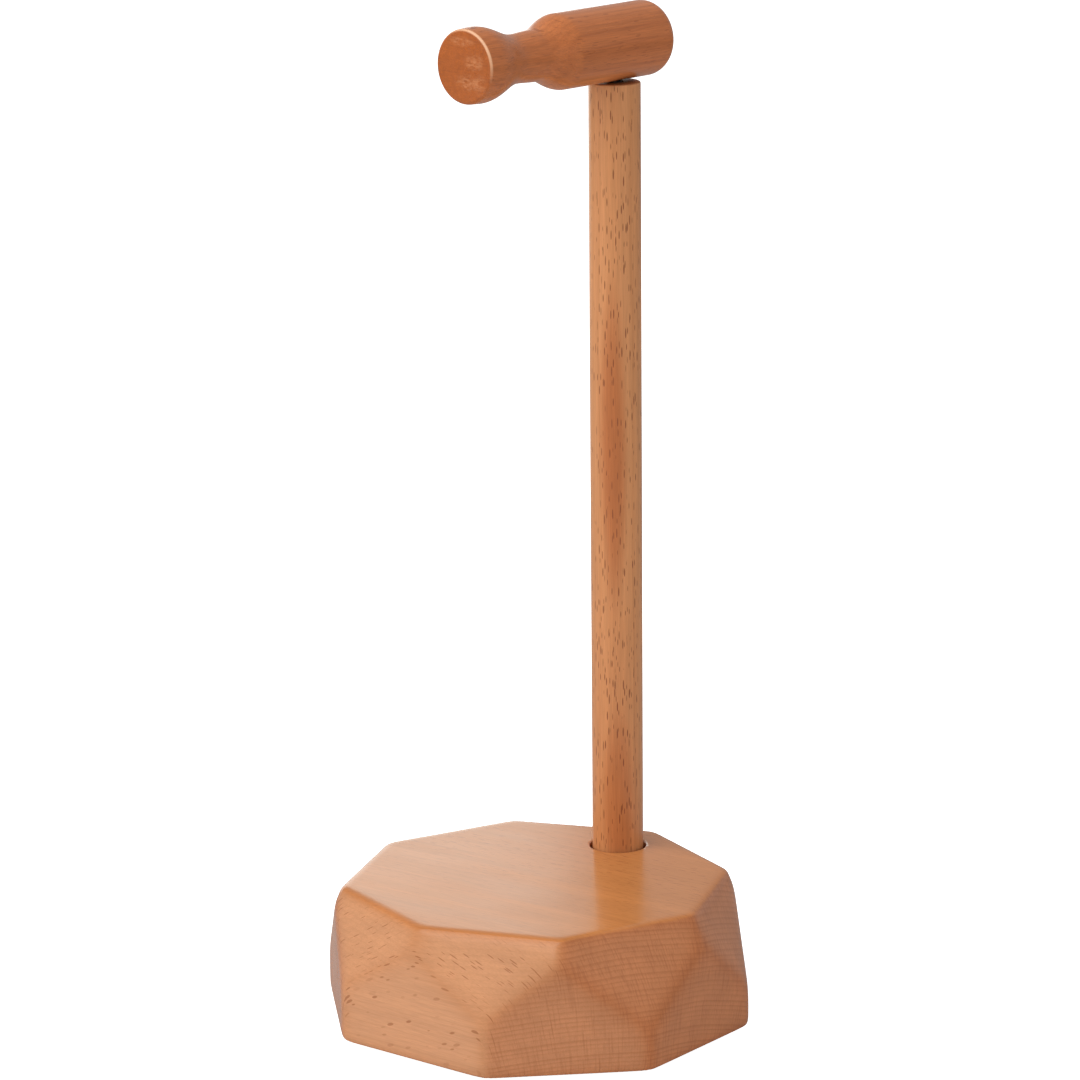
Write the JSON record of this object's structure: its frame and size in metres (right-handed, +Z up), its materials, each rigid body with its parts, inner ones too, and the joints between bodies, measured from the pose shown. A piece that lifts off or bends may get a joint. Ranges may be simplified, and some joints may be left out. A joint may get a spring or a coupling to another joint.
{
  "type": "headphone stand",
  "caption": "Wooden headphone stand: a faceted block base, a round upright post and a turned crossbar whose neck holds the headband. The crossbar swivels on the post.",
  "frame": {"origin": "on the surface the stand rests on, under the middle of the block", "axes": "+Z up along the post, -Y forward, the way the crossbar points, +X to the right seen from the front"},
  "size_m": [0.1195, 0.117, 0.2898],
  "materials": {
    "base_beech": "steamed beech under satin lacquer",
    "post_beech": "beech dowel under thin satin lacquer",
    "crossbar_beech": "darker reddish beech, turned and lacquered",
    "zinc_steel": "bright zinc plate",
    "brass": "machined",
    "rubber": "matt dark grey"
  },
  "bodies": {
    "stand": {"base": "base_beech", "post": "post_beech", "post_screw": "zinc_steel", "post_washer": "zinc_steel", "post_lock_washer": "zinc_steel", "post_insert": "brass", "hanger_bolt": "zinc_steel", "foot_front_left": "rubber", "foot_front_right": "rubber", "foot_back_left": "rubber", "foot_back_right": "rubber"},
    "crossbar": {"crossbar": "crossbar_beech", "crossbar_insert": "brass"}
  },
  "joints": [
    {"name": "crossbar_swivel", "type": "hinge", "parent": "stand", "child": "crossbar", "pos_m": [0, 0.0393, 0.2679], "axis": [0, 0, 1], "range_deg": [-180, 180]}
  ]
}
